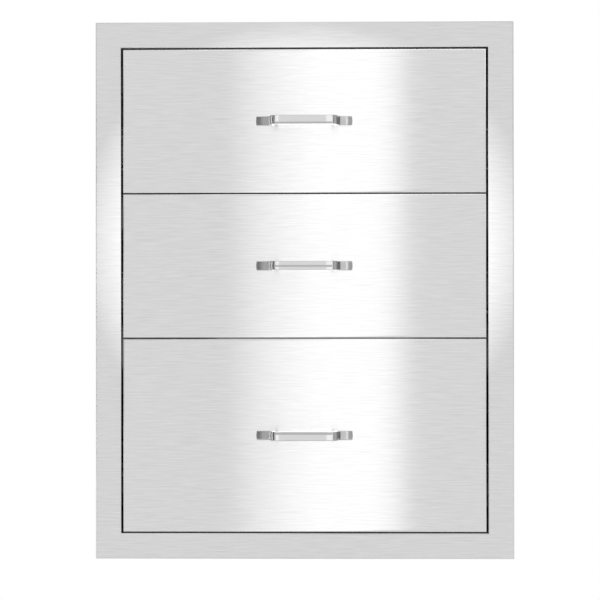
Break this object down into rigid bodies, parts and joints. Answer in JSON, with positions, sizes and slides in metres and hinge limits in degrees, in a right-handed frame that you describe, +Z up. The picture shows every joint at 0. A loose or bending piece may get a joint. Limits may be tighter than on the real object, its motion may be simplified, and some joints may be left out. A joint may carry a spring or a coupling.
{
  "type": "outdoor kitchen drawer unit",
  "caption": "Flush-mount stainless drawer unit for an outdoor kitchen island: face frame, box and stacked drawers on telescopic ball slides.",
  "frame": {"origin": "middle of the island's cut-out, in the plane of the island's face, which the back of the face frame's flange lies on", "axes": "+Z up, +X to the right as seen from in front, +Y into the island; the drawer fronts face -Y and pull out towards -Y"},
  "size_m": [0.46, 0.5763, 0.5904],
  "materials": {
    "face_steel": "fine horizontal brushing",
    "box_steel": "satin mill finish",
    "tray_steel": "satin, brushed along the depth",
    "handle_chrome": "polished",
    "slide_zinc": "bright zinc plate",
    "cage_steel": "plain steel strip with polished balls",
    "screw_steel": "turned stainless"
  },
  "bodies": {
    "cabinet": {"face_frame": "face_steel", "side_panel_left": "box_steel", "side_panel_right": "box_steel", "top_panel": "box_steel", "bottom_panel": "box_steel", "back_panel": "box_steel", "top_left_slide_cabinet_member": "slide_zinc", "top_right_slide_cabinet_member": "slide_zinc", "middle_left_slide_cabinet_member": "slide_zinc", "middle_right_slide_cabinet_member": "slide_zinc", "bottom_left_slide_cabinet_member": "slide_zinc", "bottom_right_slide_cabinet_member": "slide_zinc"},
    "top_drawer": {"top_drawer_front_skin": "face_steel", "top_drawer_front_liner": "tray_steel", "top_drawer_tray": "tray_steel", "top_drawer_tray_back": "tray_steel", "top_drawer_handle": "handle_chrome", "top_drawer_handle_screw_left": "screw_steel", "top_drawer_handle_screw_right": "screw_steel", "top_left_slide_drawer_member": "slide_zinc", "top_right_slide_drawer_member": "slide_zinc"},
    "top_slide_middles": {"top_left_slide_middle_member": "slide_zinc", "top_right_slide_middle_member": "slide_zinc"},
    "top_outer_cages": {"top_left_slide_outer_cage": "cage_steel", "top_right_slide_outer_cage": "cage_steel"},
    "top_inner_cages": {"top_left_slide_inner_cage": "cage_steel", "top_right_slide_inner_cage": "cage_steel"},
    "middle_drawer": {"middle_drawer_front_skin": "face_steel", "middle_drawer_front_liner": "tray_steel", "middle_drawer_tray": "tray_steel", "middle_drawer_tray_back": "tray_steel", "middle_drawer_handle": "handle_chrome", "middle_drawer_handle_screw_left": "screw_steel", "middle_drawer_handle_screw_right": "screw_steel", "middle_left_slide_drawer_member": "slide_zinc", "middle_right_slide_drawer_member": "slide_zinc"},
    "middle_slide_middles": {"middle_left_slide_middle_member": "slide_zinc", "middle_right_slide_middle_member": "slide_zinc"},
    "middle_outer_cages": {"middle_left_slide_outer_cage": "cage_steel", "middle_right_slide_outer_cage": "cage_steel"},
    "middle_inner_cages": {"middle_left_slide_inner_cage": "cage_steel", "middle_right_slide_inner_cage": "cage_steel"},
    "bottom_drawer": {"bottom_drawer_front_skin": "face_steel", "bottom_drawer_front_liner": "tray_steel", "bottom_drawer_tray": "tray_steel", "bottom_drawer_tray_back": "tray_steel", "bottom_drawer_handle": "handle_chrome", "bottom_drawer_handle_screw_left": "screw_steel", "bottom_drawer_handle_screw_right": "screw_steel", "bottom_left_slide_drawer_member": "slide_zinc", "bottom_right_slide_drawer_member": "slide_zinc"},
    "bottom_slide_middles": {"bottom_left_slide_middle_member": "slide_zinc", "bottom_right_slide_middle_member": "slide_zinc"},
    "bottom_outer_cages": {"bottom_left_slide_outer_cage": "cage_steel", "bottom_right_slide_outer_cage": "cage_steel"},
    "bottom_inner_cages": {"bottom_left_slide_inner_cage": "cage_steel", "bottom_right_slide_inner_cage": "cage_steel"}
  },
  "joints": [
    {"name": "top_drawer_slide", "type": "slide", "parent": "cabinet", "child": "top_drawer", "axis": [0, -1, 0], "range_m": [0, 0.5]},
    {"name": "top_middles_slide", "type": "slide", "parent": "cabinet", "child": "top_slide_middles", "axis": [0, -1, 0], "range_m": [0, 0.25]},
    {"name": "top_outer_cages_slide", "type": "slide", "parent": "cabinet", "child": "top_outer_cages", "axis": [0, -1, 0], "range_m": [0, 0.125]},
    {"name": "top_inner_cages_slide", "type": "slide", "parent": "cabinet", "child": "top_inner_cages", "axis": [0, -1, 0], "range_m": [0, 0.375]},
    {"name": "middle_drawer_slide", "type": "slide", "parent": "cabinet", "child": "middle_drawer", "axis": [0, -1, 0], "range_m": [0, 0.5]},
    {"name": "middle_middles_slide", "type": "slide", "parent": "cabinet", "child": "middle_slide_middles", "axis": [0, -1, 0], "range_m": [0, 0.25]},
    {"name": "middle_outer_cages_slide", "type": "slide", "parent": "cabinet", "child": "middle_outer_cages", "axis": [0, -1, 0], "range_m": [0, 0.125]},
    {"name": "middle_inner_cages_slide", "type": "slide", "parent": "cabinet", "child": "middle_inner_cages", "axis": [0, -1, 0], "range_m": [0, 0.375]},
    {"name": "bottom_drawer_slide", "type": "slide", "parent": "cabinet", "child": "bottom_drawer", "axis": [0, -1, 0], "range_m": [0, 0.5]},
    {"name": "bottom_middles_slide", "type": "slide", "parent": "cabinet", "child": "bottom_slide_middles", "axis": [0, -1, 0], "range_m": [0, 0.25]},
    {"name": "bottom_outer_cages_slide", "type": "slide", "parent": "cabinet", "child": "bottom_outer_cages", "axis": [0, -1, 0], "range_m": [0, 0.125]},
    {"name": "bottom_inner_cages_slide", "type": "slide", "parent": "cabinet", "child": "bottom_inner_cages", "axis": [0, -1, 0], "range_m": [0, 0.375]}
  ],
  "couplings": [
    {"joint": "top_middles_slide", "follows": "top_drawer_slide", "ratio": 0.5},
    {"joint": "top_outer_cages_slide", "follows": "top_drawer_slide", "ratio": 0.25},
    {"joint": "top_inner_cages_slide", "follows": "top_drawer_slide", "ratio": 0.75},
    {"joint": "middle_middles_slide", "follows": "middle_drawer_slide", "ratio": 0.5},
    {"joint": "middle_outer_cages_slide", "follows": "middle_drawer_slide", "ratio": 0.25},
    {"joint": "middle_inner_cages_slide", "follows": "middle_drawer_slide", "ratio": 0.75},
    {"joint": "bottom_middles_slide", "follows": "bottom_drawer_slide", "ratio": 0.5},
    {"joint": "bottom_outer_cages_slide", "follows": "bottom_drawer_slide", "ratio": 0.25},
    {"joint": "bottom_inner_cages_slide", "follows": "bottom_drawer_slide", "ratio": 0.75}
  ]
}
